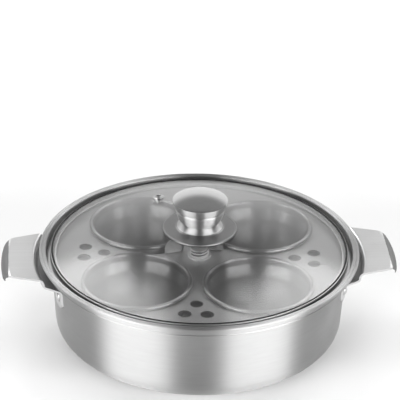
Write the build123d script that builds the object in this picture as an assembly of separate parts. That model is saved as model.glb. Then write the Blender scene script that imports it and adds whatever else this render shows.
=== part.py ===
from build123d import *
import os
from math import asin, atan2, cos, degrees, radians, sin, sqrt

# Egg poacher pan: a stepped pan, a lift-out tray with four cups, and a domed glass lid.
# Millimetres. The origin is the middle of the pan's underside, +Z is up, and the two
# side handles lie along X. Everything is drawn closed: cups in the tray, tray on the
# ledge inside the pan's collar, lid standing on the tray.

# Gaps between loose pieces, and the overrun of every cutting shape
seat_gap = 0.2          # under a rolled rim that stands on a flat plate
fit_gap = 0.1           # between pieces that are fastened together
overrun = 2.0           # cutting shapes reach this far past what they cut

# Pan and tray share their circles: everything round follows from the tray
tray_radius = 140.0
tray_sheet = 1.0
tray_turn = -5.7        # degrees from the handles to the tray's own pattern
tray_play = 2.0         # tray to collar, all round

# Pan
pan_sheet = 0.8         # stainless sheet of the pan
water_depth = 17.1      # table to the bottom of the cups
lip_width = 6.0         # collar to the outside of the lip
lip_drop = 2.6          # how far the lip's edge is turned down
lip_bend = 1.2
collar_height = 10.5    # lip to ledge
collar_bend = 1.0
ledge_width = 6.0
wall_taper = 3.6        # how much narrower the wall is at the table than at the ledge
corner_radius = 18.0    # bottom corner of the pan
ring_first_radius = 41.0
ring_pitch = 14.5
ring_count = 3
ring_rise = 1.0         # height of each pressed ring of the floor
ring_width = 4.4
ring_bend = 1.0

# Side handles
handle_sheet = 1.8
handle_clearance = 2.4      # lip to the inside of the leg beside it
handle_length = 32.0        # middle of the leg to the outer end
handle_drop = 7.2       # lip to the top of the handle plate
handle_end_drop = 7.0   # how far the outer end is turned down
handle_end_bend = 6.0
handle_root_bend = 4.0
handle_leg_height = 7.0     # plate to the middle of the leg's inward step
handle_step_drop = 4.0      # fall of the inward step
handle_step_bend = 3.0
handle_root_extra = 4.0     # root wider than the rivets' spacing
handle_end_less = 17.0      # outer end narrower than the rivets' spacing, before its corners
handle_corner_share = 0.58  # outer corners, of the length
foot_length = 21.0      # step to the rim of the foot
foot_width = 16.0
foot_corner = 6.0
window_top_drop = 9.5   # plate to the opening between the feet
window_corner = 5.0

# Rivets of the handles
rivet_spacing = 82.0    # between the two rivets of a handle
rivet_above_foot = 10.1
rivet_shank_radius = 2.5
rivet_flange = 2.1      # head wider than the shank, all round
rivet_head_height = 2.0
rivet_inner_height = 1.4

# Cups
cup_margin = 11.5       # outermost reach of the cups to the tray's edge
cup_gap = 8.5           # between neighbouring rims
cup_curl_radius = 2.0   # outside of the rolled rim
cup_sheet = 0.6
cup_bowl_inset = 6.15   # bowl narrower than the rim, all round
cup_wall_depth = 16.0   # straight part below the rim
cup_bend = 3.0
cup_hole_gap = 0.6      # round each cup in its opening

# Tray
vent_hole_radius = 6.0
vent_inner_share = 0.632    # the single hole of each group of three, of the tray's radius
vent_outer_share = 0.759    # the pair of each group
vent_pair_spacing = 20.0
tab_width = 17.5
tab_height = 13.5
tab_bend = 1.2          # inside of the bend
tab_root = 4.0          # flat part of the tongue before its bend
tab_corner = 8.5

# Stud in the middle of the tray
stud_radius = 8.5
stud_height = 7.0       # threaded stub above its collar
stud_chamfer = 0.8
stud_flange = 2.5       # collar wider than the stub, all round
stud_collar_height = 1.4
shank_step = 3.5        # shank thinner than the stub, all round
shank_length = 10.0
washer_flange = 5.0     # washer wider than the shank, all round
washer_thickness = 1.2
nut_wall = 3.0          # shank to the flats of the nut
nut_height = 5.0
nut_chamfer = 0.6

# Lid
lid_inset = 2.0         # lid narrower than the tray, all round
band_sheet = 0.6
band_height = 8.0
band_hook = 2.3         # reach of the band over the glass
band_shelf = 5.4        # reach of the band under the glass
band_bend = 0.9
hem_width = 1.5
hem_bend = 0.7
glass_inset = 0.8       # glass narrower than the band, all round
glass_sheet = 3.5
glass_rise = 21.0       # edge to crown
steam_vent_share = 0.6057   # from the lid's axis, of the glass's radius
steam_vent_angle = 114.0
eyelet_tube_radius = 3.8
eyelet_flange = 2.0     # flange wider than the tube, all round
eyelet_wall = 1.4
eyelet_crown = 2.4
eyelet_lip = 1.0

# Knob
knob_cap_radius = 25.4
knob_cap_overhang = 2.4     # cap wider than the body's shoulder, all round
knob_waist_inset = 8.2      # waist narrower than the cap, all round
knob_skirt_flange = 9.0     # skirt wider than the cap, all round
knob_base_height = 9.0
knob_shoulder_height = 23.0
knob_cap_side = 7.5
knob_crown = 5.5
knob_sheet = 0.8
knob_edge_bend = 1.6
knob_bowl_height = 4.6      # waist to the bowl's turn
knob_bowl_step = 3.4        # bowl's turn wider than the waist, all round
knob_bowl_bend = 9.0
knob_skirt_edge = 1.6       # upright edge of the skirt
knob_skirt_rise = 3.4       # skirt's height where it turns up into the neck
knob_skirt_bend = 0.9
knob_neck_flare = 3.7       # neck's bend begins this far outside the waist
knob_neck_bend = 5.0
insert_flange_inset = 5.8   # boss's flange narrower than the cap, all round
insert_flange_height = 2.0
insert_wall = 3.5           # round the screw
gasket_flange = 4.5         # gasket wider than the boss, all round
gasket_thickness = 1.5
screw_radius = 3.0
screw_hole_gap = 1.5        # round the screw in the glass
screw_head_flange = 2.5
screw_head_height = 2.6
screw_washer_flange = 4.5
screw_washer_thickness = 1.0

# Circles that follow from the sizes above
collar_radius = tray_radius + tray_play
lip_radius = collar_radius + lip_width
ledge_radius = collar_radius - ledge_width
wall_foot_radius = ledge_radius - wall_taper
handle_root_radius = lip_radius + handle_clearance + handle_sheet / 2
handle_reach = handle_root_radius + handle_length
handle_corner = handle_corner_share * handle_length
handle_root_width = rivet_spacing + handle_root_extra
handle_end_width = rivet_spacing - handle_end_less
foot_side = rivet_spacing / 2
rivet_head_radius = rivet_shank_radius + rivet_flange
cup_rim_radius = (tray_radius - cup_margin - cup_gap / sqrt(2)) / (1 + sqrt(2))
cup_spacing = 2 * cup_rim_radius + cup_gap
cup_bowl_radius = cup_rim_radius - cup_bowl_inset
cup_offset = cup_spacing / 2
curl_middle = cup_rim_radius - cup_curl_radius
cup_hole_radius = curl_middle - cup_curl_radius + cup_sheet + cup_hole_gap
vent_inner_radius = vent_inner_share * tray_radius
vent_outer_radius = vent_outer_share * tray_radius
stud_collar_radius = stud_radius + stud_flange
shank_radius = stud_radius - shank_step
washer_radius = shank_radius + washer_flange
nut_width = 2 * (shank_radius + nut_wall)
lid_radius = tray_radius - lid_inset
glass_radius = lid_radius - glass_inset
glass_sphere = (glass_radius**2 + glass_rise**2) / (2 * glass_rise)
steam_vent_reach = steam_vent_share * glass_radius
eyelet_flange_radius = eyelet_tube_radius + eyelet_flange
eyelet_bore_radius = eyelet_tube_radius - eyelet_wall
knob_base_radius = knob_cap_radius + knob_skirt_flange
knob_waist_radius = knob_cap_radius - knob_waist_inset
knob_neck_radius = knob_waist_radius + knob_neck_flare
knob_shoulder_radius = knob_cap_radius - knob_cap_overhang
insert_flange_radius = knob_cap_radius - insert_flange_inset
insert_radius = screw_radius + insert_wall
gasket_radius = insert_radius + gasket_flange
screw_hole_radius = screw_radius + screw_hole_gap
screw_head_radius = screw_radius + screw_head_flange
screw_washer_radius = screw_head_radius + screw_washer_flange

# Levels that follow: the cups' depth and the water below them set the pan's height
cup_shoulder = water_depth + cup_bowl_radius
curl_height = cup_shoulder + cup_wall_depth
tray_top = curl_height - cup_curl_radius - seat_gap
ledge_top = tray_top - tray_sheet
lip_top = ledge_top + collar_height
plate_top = lip_top - handle_drop
plate_middle = plate_top - handle_sheet / 2
step_height = plate_middle - handle_leg_height
foot_bottom = step_height - foot_length
rivet_height = foot_bottom + rivet_above_foot
band_bottom = tray_top + seat_gap
glass_edge_top = band_bottom + band_height - band_sheet - fit_gap
glass_crown = glass_edge_top + glass_rise


def sheet(edges, thickness):
    """Cross-section of sheet along a line of edges drawn as (radius, height)."""
    outline = offset(Wire(edges), amount=thickness / 2, side=Side.BOTH, kind=Kind.ARC)
    return make_face(outline.edges())


def right_half(face):
    """The part of a cross-section that lies at a positive radius."""
    box = face.bounding_box()
    return face & (Pos(box.max.X, box.center().Y) * Rectangle(2 * box.max.X, 2 * box.size.Y))


def section(points, bends, thickness):
    """Cross-section of a sheet that follows a bent path of (radius, height) points."""
    return sheet(FilletPolyline(*points, radius=bends).edges(), thickness)


def spin(face, turn=360.0):
    """Solid of revolution about Z of a section drawn as (radius, height)."""
    solid = revolve(Plane.XZ * face, axis=Axis.Z, revolution_arc=turn)
    return Rot(0, 0, -turn / 2) * solid


def disc(radius, bottom, top):
    """Upright cylinder between two heights."""
    return Pos(0, 0, (bottom + top) / 2) * Cylinder(radius, top - bottom)


def wall_line(height):
    """Radius of the middle of the pan's wall at a height above the table."""
    wall_top = ledge_radius + pan_sheet / 2
    slope = (wall_top - wall_foot_radius) / (ledge_top - pan_sheet / 2)
    return wall_foot_radius + slope * height


def glass_top(radius):
    """Height of the glass's upper surface at a distance from the lid's axis."""
    return glass_crown - glass_sphere + sqrt(glass_sphere**2 - radius**2)


def glass_under(radius):
    """Height of the glass's lower surface at a distance from the lid's axis."""
    inner = glass_sphere - glass_sheet
    return glass_crown - glass_sphere + sqrt(inner**2 - radius**2)


def rim_line(radius):
    """Height of the straight line that touches the glass's top at its edge."""
    lean = asin(glass_radius / glass_sphere)
    return glass_edge_top + (glass_radius - radius) * sin(lean) / cos(lean)


# Pan

def make_pan():
    """One pressed sheet: rolled lip, collar, ledge, tapering wall and ringed floor."""
    half = pan_sheet / 2
    middle = collar_radius + half
    step = ledge_top - half
    points = [
        (lip_radius - half, lip_top - lip_drop),
        (lip_radius - half, lip_top - half),
        (middle, lip_top - half),
        (middle, step),
        (wall_line(step), step),
        (wall_line(half), half),
    ]
    bends = [lip_bend, collar_bend, collar_bend, collar_bend, corner_radius]
    for ring in reversed(range(ring_count)):
        centre = ring_first_radius + ring * ring_pitch
        points += [
            (centre + ring_width / 2, half),
            (centre + ring_width / 4, half + ring_rise),
            (centre - ring_width / 4, half + ring_rise),
            (centre - ring_width / 2, half),
        ]
        bends += [ring_bend] * 4
    points.append((-overrun, half))
    pan = spin(right_half(section(points, bends, pan_sheet)))
    hole = Rot(0, 90, 0) * Cylinder(rivet_shank_radius + fit_gap, collar_height)
    for turn in (0, 180):
        for side in (-1, 1):
            pan -= Rot(0, 0, turn) * rivet_place(side) * hole
    return pan


def make_handle():
    """The right handle: a plate, turned down at its end, on two feet that hug the wall."""
    half = handle_sheet / 2
    stand_off = pan_sheet / 2 + half + fit_gap
    foot_top = step_height - handle_step_drop
    points = [
        (handle_reach - half, plate_middle - handle_end_drop),
        (handle_reach - half, plate_middle),
        (handle_root_radius, plate_middle),
        (handle_root_radius, step_height),
        (wall_line(foot_top) + stand_off, foot_top),
        (wall_line(foot_bottom) + stand_off, foot_bottom),
    ]
    bends = [handle_end_bend, handle_root_bend, handle_step_bend, handle_step_bend]
    foot_edge = foot_side + foot_width / 2
    inside = wall_line(foot_bottom) - overrun
    half_turn = degrees(asin(foot_edge / inside))
    blank = spin(section(points, bends, handle_sheet), 4 * half_turn)
    side = handle_end_width / 2
    root = (handle_root_radius - half, handle_root_width / 2)
    foot = (inside * cos(radians(half_turn)), foot_edge)
    corners = [(handle_reach + overrun, side), root, foot]
    corners += [(x, -y) for x, y in reversed(corners)]
    plan = Polygon(*corners, align=None) & Circle(handle_reach)
    outer = plan.vertices().sort_by(Axis.X)[-2:]
    plan = fillet(outer, handle_corner)
    handle = blank & extrude(plan, lip_top)

    window_height = plate_middle - window_top_drop
    window_width = 2 * foot_side - foot_width
    window = RectangleRounded(window_width, 2 * window_height, window_corner)
    reach = handle_root_radius + half
    handle -= extrude(Plane.YZ * window, reach)
    for side in (-1, 1):
        foot = RectangleRounded(foot_width, 2 * (plate_middle - foot_bottom), foot_corner)
        end = Pos(side * foot_side, plate_middle) * foot
        skirt = Pos(side * foot_side, foot_bottom) * Rectangle(2 * foot_width, foot_width)
        handle -= extrude(Plane.YZ * (skirt - end), reach)
    for side in (-1, 1):
        handle -= rivet_place(side) * Rot(0, 90, 0) * Cylinder(rivet_shank_radius + fit_gap, 2 * foot_width)
    return handle


def rivet_place(side):
    """Where a rivet crosses the middle of the wall, with X pointing straight out."""
    lean = degrees(atan2(wall_line(ledge_top) - wall_line(0), ledge_top))
    turn = side * degrees(asin(foot_side / wall_line(rivet_height)))
    place = Rot(0, 0, turn) * Pos(wall_line(rivet_height), 0, rivet_height)
    return place * Rot(0, lean, 0)


def make_rivet(side):
    """A rivet with a domed head outside and a flat one inside the pan."""
    inner = pan_sheet / 2 + fit_gap
    outer = pan_sheet / 2 + handle_sheet + 2 * fit_gap
    dome_radius = (rivet_head_radius**2 + rivet_head_height**2) / (2 * rivet_head_height)
    shank = disc(rivet_shank_radius, -inner - rivet_inner_height / 2, outer + rivet_head_height / 2)
    dome = Pos(0, 0, outer + rivet_head_height - dome_radius) * Sphere(dome_radius)
    head = dome & disc(rivet_head_radius, outer, outer + rivet_head_height)
    button = disc(rivet_head_radius, -inner - rivet_inner_height, -inner)
    button = fillet(button.faces().sort_by(Axis.Z)[0].edges(), rivet_inner_height / 2)
    return rivet_place(side) * Rot(0, 90, 0) * (shank + head + button)


# Cups

def make_cup():
    """A deep-drawn cup with a round bottom and a rim curled outwards."""
    half = cup_sheet / 2
    curl = cup_curl_radius - half
    mouth = curl_middle - curl
    bowl = cup_bowl_radius - half
    wall = FilletPolyline(
        (mouth, curl_height),
        (mouth, curl_height - cup_curl_radius - cup_bend),
        (bowl, cup_shoulder),
        radius=[cup_bend],
    )
    rim = CenterArc((curl_middle, curl_height), curl, 180, -290)
    bottom = CenterArc((0, cup_shoulder), bowl, 0, -90)
    return spin(right_half(sheet(rim.edges() + wall.edges() + bottom.edges(), cup_sheet)))


def cup_place(column, row):
    """Axis of a cup: column -1 is left and 1 right, row -1 is front and 1 back."""
    return Rot(0, 0, tray_turn) * Pos(column * cup_offset, row * cup_offset, 0)


# Tray

# Corners of the two openings that the finger tabs leave between the stud and the back
# cups, each as shares of the cup spacing, in the tray's own pattern. The second and
# third corner are the ends of the fold.
left_bay_shares = [(-0.03, 0.48), (-0.137, 0.18), (-0.137, 0.075), (-0.3, 0.01), (-0.48, -0.03), (-0.5, 0.3)]
right_bay_shares = [(0.05, 0.42), (-0.024, 0.135), (0.046, 0.112), (0.195, 0.1), (0.26, 0.18), (0.45, 0.42)]


def make_tab(corners):
    """A round-ended tongue bent straight up from the fold, the tray's sheet thick."""
    (x1, y1), (x2, y2) = corners
    fold = degrees(atan2(y2 - y1, x2 - x1))
    middle = ((x1 + x2) / 2, (y1 + y2) / 2)
    half = tray_sheet / 2
    bend = tab_bend + half
    floor = ledge_top + half
    points = [(-tab_root, floor), (0, floor), (0, tray_top + tab_height)]
    profile = section(points, [bend], tray_sheet)
    tongue = extrude(Plane.YZ * profile, tab_width / 2, both=True)
    front = Pos(0, ledge_top) * RectangleRounded(tab_width, 2 * (tab_height + tray_sheet), tab_corner)
    tongue = tongue & extrude(Plane.XZ * front, tab_width, both=True)
    return Pos(middle[0], middle[1], 0) * Rot(0, 0, fold) * tongue


def make_tray():
    """The plate with four cup openings, steam holes and two finger tabs."""
    plate = Circle(tray_radius)
    for column in (-1, 1):
        for row in (-1, 1):
            plate -= Pos(column * cup_offset, row * cup_offset) * Circle(cup_hole_radius)
    for quarter in range(4):
        turn = Rot(0, 0, 90 * quarter)
        plate -= turn * Pos(vent_inner_radius, 0) * Circle(vent_hole_radius)
        for side in (-1, 1):
            hole = Pos(vent_outer_radius, side * vent_pair_spacing / 2) * Circle(vent_hole_radius)
            plate -= turn * hole
    plate -= Circle(shank_radius + fit_gap)
    tabs = []
    for shares in (left_bay_shares, right_bay_shares):
        corners = [(x * cup_spacing, y * cup_spacing) for x, y in shares]
        plate -= Polygon(*corners, align=None)
        tabs.append(make_tab(sorted(corners[2:4])))
    tray = extrude(plate, tray_sheet)
    tray = Pos(0, 0, ledge_top) * tray
    for tab in tabs:
        tray += tab
    return Rot(0, 0, tray_turn) * tray


def make_stud():
    """Threaded stub with a collar on the plate and a shank through it."""
    collar_top = tray_top + stud_collar_height
    stub = disc(stud_radius, tray_top, collar_top + stud_height)
    stub = chamfer(stub.faces().sort_by(Axis.Z)[-1].edges(), stud_chamfer)
    collar = disc(stud_collar_radius, tray_top, collar_top)
    shank = disc(shank_radius, ledge_top - shank_length, tray_top + stud_collar_height / 2)
    return stub + collar + shank


def make_stud_washer():
    """Flat washer under the tray."""
    ring = disc(washer_radius, ledge_top - washer_thickness, ledge_top)
    return ring - disc(shank_radius + fit_gap, ledge_top - washer_thickness - overrun, tray_top)


def make_stud_nut():
    """Hexagon nut that clamps the stud."""
    top = ledge_top - washer_thickness
    hexagon = RegularPolygon(nut_width / 2, 6, major_radius=False)
    nut = Pos(0, 0, top - nut_height) * extrude(hexagon, nut_height)
    nut = nut & Pos(0, 0, top - nut_height / 2) * chamfer(
        Cylinder(nut_width / sqrt(3), nut_height).edges(), nut_chamfer
    )
    return nut - disc(shank_radius + fit_gap, top - nut_height - overrun, tray_top)


# Lid

def eyelet_place():
    """Where the steam vent stands on the glass, with Z square to the glass."""
    lean = degrees(asin(steam_vent_reach / glass_sphere))
    centre = Pos(0, 0, glass_crown - glass_sphere)
    return Rot(0, 0, steam_vent_angle) * centre * Rot(0, lean, 0) * Pos(0, 0, glass_sphere)


def make_glass():
    """Domed glass with a hole for the knob's screw and one for the steam vent."""
    top = Sphere(glass_sphere)
    bottom = Sphere(glass_sphere - glass_sheet)
    drop = glass_sphere - glass_rise - glass_sheet * 2
    shell = (top - bottom) & disc(glass_radius, drop, glass_sphere + overrun)
    shell -= disc(screw_hole_radius, drop, glass_sphere + overrun)
    shell = Pos(0, 0, glass_crown - glass_sphere) * shell
    return shell - eyelet_place() * Cylinder(eyelet_tube_radius + fit_gap, 3 * glass_sheet)


def make_band():
    """Steel band: it hooks over the glass, hems at the bottom and carries the glass."""
    half = band_sheet / 2
    outside = lid_radius - half
    hook = lid_radius - band_hook
    tip = lid_radius - band_shelf
    inside = outside - hem_width
    lean = asin(glass_radius / glass_sphere)
    over = (fit_gap + half) / cos(lean)
    shelf_fall = (glass_under(tip) - glass_under(glass_radius)) / (glass_radius - tip)
    points = [
        (hook, rim_line(hook) + over),
        (outside, rim_line(outside) + over),
        (outside, band_bottom + half),
        (inside, band_bottom + half),
        (inside, glass_under(tip) - (inside - tip) * shelf_fall - over),
        (tip, glass_under(tip) - over),
    ]
    return spin(section(points, [band_bend, hem_bend, hem_bend, hem_bend], band_sheet))


def make_eyelet():
    """Steam vent: a domed flange on a tube, spread below the glass."""
    under = -glass_sheet - fit_gap
    flange = disc(eyelet_flange_radius, fit_gap, fit_gap + eyelet_lip)
    dome_radius = (eyelet_tube_radius**2 + eyelet_crown**2) / (2 * eyelet_crown)
    dome = Pos(0, 0, eyelet_lip + eyelet_crown - dome_radius) * Sphere(dome_radius)
    dome = dome & disc(eyelet_tube_radius, fit_gap, eyelet_lip + eyelet_crown)
    tube = disc(eyelet_tube_radius, under - eyelet_lip, eyelet_lip)
    spread = disc(eyelet_flange_radius, under - eyelet_lip, under)
    spread = fillet(spread.faces().sort_by(Axis.Z)[0].edges(), eyelet_lip / 2)
    flange = fillet(flange.faces().sort_by(Axis.Z)[-1].edges(), eyelet_lip / 2)
    eyelet = flange + dome + tube + spread
    bore = disc(eyelet_bore_radius, under - overrun, eyelet_lip + eyelet_crown + overrun)
    return eyelet_place() * (eyelet - bore)


# Knob

knob_foot = glass_top(knob_base_radius) + seat_gap
knob_bench = glass_crown + gasket_thickness + fit_gap
knob_waist = knob_foot + knob_base_height
knob_shoulder = knob_foot + knob_shoulder_height
knob_cap_edge = knob_shoulder + knob_cap_side


def make_knob_base():
    """Flared skirt under the knob, standing on the glass."""
    half = knob_sheet / 2
    low = knob_foot + half
    points = [
        (knob_base_radius - half, low),
        (knob_base_radius - half, low + knob_skirt_edge),
        (knob_neck_radius, low + knob_skirt_rise),
        (knob_waist_radius - half, knob_waist - half),
    ]
    return spin(section(points, [knob_skirt_bend, knob_neck_bend], knob_sheet))


def make_knob_body():
    """Bowl-shaped shell between the skirt and the cap."""
    half = knob_sheet / 2
    low = knob_waist + fit_gap
    high = knob_shoulder - half
    points = [
        (knob_waist_radius - half, low + half),
        (knob_waist_radius - half + knob_bowl_step, low + knob_bowl_height),
        (knob_shoulder_radius - half, high),
        (insert_flange_radius, high),
    ]
    return spin(section(points, [knob_bowl_bend, knob_edge_bend], knob_sheet))


def make_knob_cap():
    """Domed cap whose side carries on the bowl's line, closed by the insert's flange."""
    half = knob_sheet / 2
    side = knob_cap_radius - half
    low = knob_shoulder + fit_gap + half
    dome_radius = (side**2 + knob_crown**2) / (2 * knob_crown)
    heights = [
        knob_cap_edge + knob_crown - dome_radius + sqrt(dome_radius**2 - radius**2)
        for radius in (side / 2, overrun)
    ]
    wall = FilletPolyline(
        (insert_flange_radius + fit_gap + half, low),
        (knob_shoulder_radius, low),
        (side, knob_cap_edge),
        radius=[knob_edge_bend],
    )
    dome = ThreePointArc((side, knob_cap_edge), (side / 2, heights[0]), (-overrun, heights[1]))
    return spin(right_half(sheet(wall.edges() + dome.edges(), knob_sheet)))


def make_insert():
    """Boss inside the knob: a flange in the cap and a post that takes the screw."""
    top = knob_shoulder + insert_flange_height
    post = disc(insert_radius, knob_bench, top)
    flange = disc(insert_flange_radius - fit_gap, knob_shoulder + fit_gap, top)
    bore = disc(screw_radius + fit_gap, knob_bench - overrun, knob_shoulder)
    return post + flange - bore


def make_gasket():
    """Soft washer between the post and the glass."""
    ring = disc(gasket_radius, glass_crown + fit_gap, knob_bench)
    return ring - disc(screw_radius + fit_gap, glass_crown - overrun, knob_bench + overrun)


def make_screw_washer():
    """Steel washer under the glass."""
    top = glass_under(screw_washer_radius) - fit_gap
    ring = disc(screw_washer_radius, top - screw_washer_thickness, top)
    return ring - disc(screw_radius + fit_gap, top - overrun, top + overrun)


def make_screw():
    """Screw from below the glass into the post."""
    seat = glass_under(screw_washer_radius) - fit_gap - screw_washer_thickness
    head = disc(screw_head_radius, seat - screw_head_height, seat)
    head = fillet(head.faces().sort_by(Axis.Z)[0].edges(), screw_head_height / 2)
    return head + disc(screw_radius, seat - screw_head_height / 2, knob_shoulder - fit_gap)


def save(name, shape):
    """Write one piece, or one group of like pieces, to its own file."""
    solids = shape.solids()
    kept = solids[0] if len(solids) == 1 else Compound(children=list(solids))
    export_step(kept, os.path.join("parts", name + ".step"))


os.makedirs("parts", exist_ok=True)

save("pan_body", make_pan())
handle = make_handle()
rivets = Compound(children=[s for side in (-1, 1) for s in make_rivet(side).solids()])
for side_name, turn in (("right", 0), ("left", 180)):
    save("handle_" + side_name, Rot(0, 0, turn) * handle)
    save("rivets_" + side_name, Rot(0, 0, turn) * rivets)

cup = make_cup()
for row_name, row in (("front", -1), ("back", 1)):
    for column_name, column in (("left", -1), ("right", 1)):
        save("cup_" + row_name + "_" + column_name, cup_place(column, row) * cup)

save("tray_plate", make_tray())
save("centre_stud", make_stud())
save("stud_washer", make_stud_washer())
save("stud_nut", make_stud_nut())

save("lid_glass", make_glass())
save("lid_band", make_band())
save("vent_eyelet", make_eyelet())
save("knob_base", make_knob_base())
save("knob_body", make_knob_body())
save("knob_cap", make_knob_cap())
save("knob_insert", make_insert())
save("knob_gasket", make_gasket())
save("screw_washer", make_screw_washer())
save("knob_screw", make_screw())
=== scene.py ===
"""Looks of an egg poacher pan: a stepped steel pan, a tray of four cups and a domed glass lid.

Sizes are millimetres in the classes and metres in the meshes. The frame is that of the CAD
model: the origin is the middle of the pan's underside and +Z is up.
"""
import logging
import math
from collections.abc import Sequence
from dataclasses import dataclass, replace
from enum import Enum
from typing import Any, ClassVar

import bmesh
import bpy
import numpy as np
from mathutils import Matrix, Vector


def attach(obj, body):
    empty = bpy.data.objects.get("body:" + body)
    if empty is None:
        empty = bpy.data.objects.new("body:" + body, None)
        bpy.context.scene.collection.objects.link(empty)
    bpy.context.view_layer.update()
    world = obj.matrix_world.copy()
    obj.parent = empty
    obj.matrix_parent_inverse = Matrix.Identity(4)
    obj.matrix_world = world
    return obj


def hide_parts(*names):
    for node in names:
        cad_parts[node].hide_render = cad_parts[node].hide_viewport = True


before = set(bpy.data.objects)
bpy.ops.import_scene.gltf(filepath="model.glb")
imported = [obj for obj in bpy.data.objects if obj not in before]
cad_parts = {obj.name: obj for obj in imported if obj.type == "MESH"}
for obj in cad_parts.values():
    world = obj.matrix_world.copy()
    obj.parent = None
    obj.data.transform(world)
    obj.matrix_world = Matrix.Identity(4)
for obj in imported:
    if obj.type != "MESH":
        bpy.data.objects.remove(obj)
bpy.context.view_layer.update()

LOG = logging.getLogger("poacher")
MM = 0.001
SHARP = math.radians(38)  # edges that turn more than this stay sharp in the shading
SOFTENED = math.radians(50)  # edges that turn more than this are bevelled
MERGED = 1e-6  # points nearer to each other than this, in metres, become one
END_STEPS = 6  # steps round the free edge of a sheet
NOISE_RANGE = (0.3, 0.7)  # where the values of a noise mostly lie
BUMP_STRENGTH = 0.25


# Finishes


class Grain(Enum):
    """Which way the fine lines of a finish run."""

    ROUND = "round the piece's axis"
    ALONG = "straight along X"
    NONE = "no lines"


def linear(colour: str) -> tuple[float, float, float, float]:
    """Turns an sRGB hex colour into the linear values that Blender takes.

    Args:
        colour: Six hex digits.

    Returns:
        Linear red, green, blue and an alpha of 1.
    """
    parts = [int(colour[i : i + 2], 16) / 255 for i in (0, 2, 4)]
    return tuple(c / 12.92 if c <= 0.04045 else ((c + 0.055) / 1.055) ** 2.4 for c in parts) + (1.0,)


def add_node(
    tree: bpy.types.NodeTree, kind: str, inputs: dict[Any, Any] | None = None, **settings: Any
) -> bpy.types.Node:
    """Adds a node, with its settings, values and links.

    Args:
        tree: The node tree.
        kind: Blender's name of the node's type.
        inputs: Socket names or numbers, each with a value or with the output it is joined to.
        settings: Properties of the node.

    Returns:
        The new node.
    """
    node = tree.nodes.new(kind)
    for name, value in settings.items():
        setattr(node, name, value)
    for key, value in (inputs or {}).items():
        if isinstance(value, bpy.types.NodeSocket):
            tree.links.new(value, node.inputs[key])
        else:
            node.inputs[key].default_value = value
    return node


def new_material(name: str) -> tuple[bpy.types.Material, bpy.types.NodeTree]:
    """Makes an empty node material.

    Args:
        name: The finish's name.

    Returns:
        The material and its cleared node tree.
    """
    material = bpy.data.materials.new(name)
    material.use_nodes = True
    material.node_tree.nodes.clear()
    return material, material.node_tree


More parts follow.
